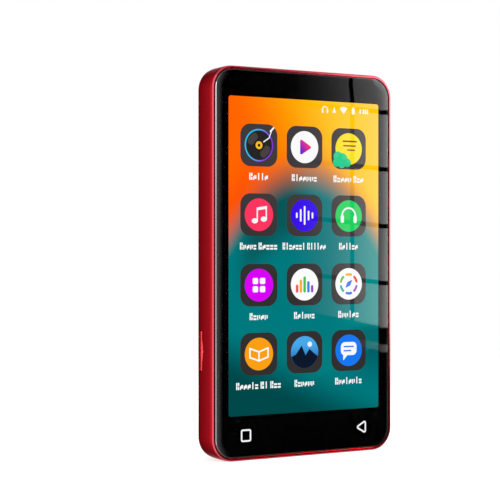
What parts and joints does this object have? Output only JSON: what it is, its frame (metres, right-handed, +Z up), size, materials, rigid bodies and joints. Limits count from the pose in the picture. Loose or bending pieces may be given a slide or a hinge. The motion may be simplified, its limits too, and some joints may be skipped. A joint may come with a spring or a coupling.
{
  "type": "digital audio player",
  "caption": "Pocket digital audio player: red metal band, glass front with a lit touch screen and app icons, dark rounded back, side keys, card slot and headphone socket.",
  "frame": {"origin": "middle of the bottom edge, on which the player stands upright", "axes": "+X to the player's right as its screen is faced, +Y from the screen to the back, +Z up along its height"},
  "size_m": [0.0599, 0.0104, 0.1096],
  "materials": {
    "red_anodised_aluminium": "satin red anodising with bright cut edges",
    "clear_glass": "polished, optically clear",
    "black_border_ink": "opaque black print seen through the glass",
    "clear_adhesive": "grey pressure-sensitive film",
    "polyimide_flex": "amber polyimide film",
    "milky_acrylic": "translucent white acrylic",
    "white_plastic": "white moulded plastic",
    "lit_display": "lit colour display, orange to teal wallpaper",
    "black_chip_resin": "black moulding compound",
    "stainless_steel": "fine brushed sheet",
    "black_foam": "soft closed-cell foam",
    "cast_aluminium": "die-cast, bead blasted",
    "green_circuit_board": "green solder resist over glass-fibre board",
    "black_plastic": "black moulded plastic",
    "tan_ceramic_parts": "sintered chip parts",
    "gold_contacts": "gold flashed",
    "battery_pouch": "foil pouch",
    "red_wire": "insulated wire",
    "graphite": "graphite heat spreader",
    "dark_grey_keys": "dark grey satin keys",
    "pale_plastic": "switch plunger plastic",
    "dark_grey_cover": "soft matte dark grey moulding"
  },
  "bodies": {
    "case": {"antenna_flex": "polyimide_flex", "audio_chip": "black_chip_resin", "back_cover": "dark_grey_cover", "backlight_frame": "white_plastic", "backlight_tray": "stainless_steel", "battery_board": "green_circuit_board", "battery_cell": "battery_pouch", "battery_foam": "black_foam", "battery_leads": "red_wire", "battery_plug": "white_plastic", "battery_tape": "clear_adhesive", "board_components": "tan_ceramic_parts", "board_connectors": "black_plastic", "board_screws": "stainless_steel", "border_mask": "black_border_ink", "card_contacts": "gold_contacts", "card_socket_base": "black_plastic", "card_socket_shell": "stainless_steel", "cover_glass": "clear_glass", "diffuser_sheet": "milky_acrylic", "display_flex": "polyimide_flex", "display_foam": "black_foam", "frame_band": "red_anodised_aluminium", "glass_adhesive": "clear_adhesive", "graphite_sheet": "graphite", "inner_frame": "cast_aluminium", "jack_body": "black_plastic", "jack_contacts": "gold_contacts", "key_bracket": "stainless_steel", "key_flex": "polyimide_flex", "key_leds": "white_plastic", "key_light_guide": "milky_acrylic", "key_pivot": "black_plastic", "lcd_driver_chip": "black_chip_resin", "lcd_panel": "lit_display", "light_guide_plate": "milky_acrylic", "main_board": "green_circuit_board", "memory_chip": "black_chip_resin", "microphone": "stainless_steel", "microphone_boot": "black_foam", "power_chip": "black_chip_resin", "power_switch": "stainless_steel", "processor_chip": "black_chip_resin", "shield_lids": "stainless_steel", "speaker_body": "black_plastic", "speaker_cone": "black_plastic", "speaker_gasket": "black_foam", "speaker_mesh": "stainless_steel", "touch_flex": "polyimide_flex", "touch_sensor": "clear_glass", "usb_gasket": "black_foam", "usb_shell": "stainless_steel", "usb_tongue": "black_plastic", "volume_switches": "stainless_steel"},
    "power_button": {"power_button": "dark_grey_keys"},
    "volume_rocker": {"volume_rocker": "dark_grey_keys"},
    "power_plunger": {"power_plunger": "pale_plastic"},
    "volume_up_plunger": {"volume_up_plunger": "pale_plastic"},
    "volume_down_plunger": {"volume_down_plunger": "pale_plastic"},
    "memory_card": {"memory_card": "black_plastic"}
  },
  "joints": [
    {"name": "power_press", "type": "slide", "parent": "case", "child": "power_button", "axis": [-1, 0, 0], "range_m": [0, 0.00025], "stiffness_N_per_m": 400},
    {"name": "power_plunger_press", "type": "slide", "parent": "case", "child": "power_plunger", "axis": [-1, 0, 0], "range_m": [0, 0.00026]},
    {"name": "volume_rock", "type": "hinge", "parent": "case", "child": "volume_rocker", "pos_m": [0.02718, -0.0008, 0.0822], "axis": [0, 1, 0], "range_deg": [-1.2, 1.2], "stiffness_Nm_per_rad": 0.02},
    {"name": "volume_up_press", "type": "slide", "parent": "case", "child": "volume_up_plunger", "axis": [-1, 0, 0], "range_m": [-0.00018, 0.00018]},
    {"name": "volume_down_press", "type": "slide", "parent": "case", "child": "volume_down_plunger", "axis": [-1, 0, 0], "range_m": [-0.00018, 0.00018]},
    {"name": "card_slide", "type": "slide", "parent": "case", "child": "memory_card", "axis": [-1, 0, 0], "range_m": [0, 0.016]}
  ],
  "couplings": [
    {"joint": "power_plunger_press", "follows": "power_press", "ratio": 1},
    {"joint": "volume_up_press", "follows": "volume_rock", "m_per_rad": -0.008},
    {"joint": "volume_down_press", "follows": "volume_rock", "m_per_rad": 0.008}
  ]
}
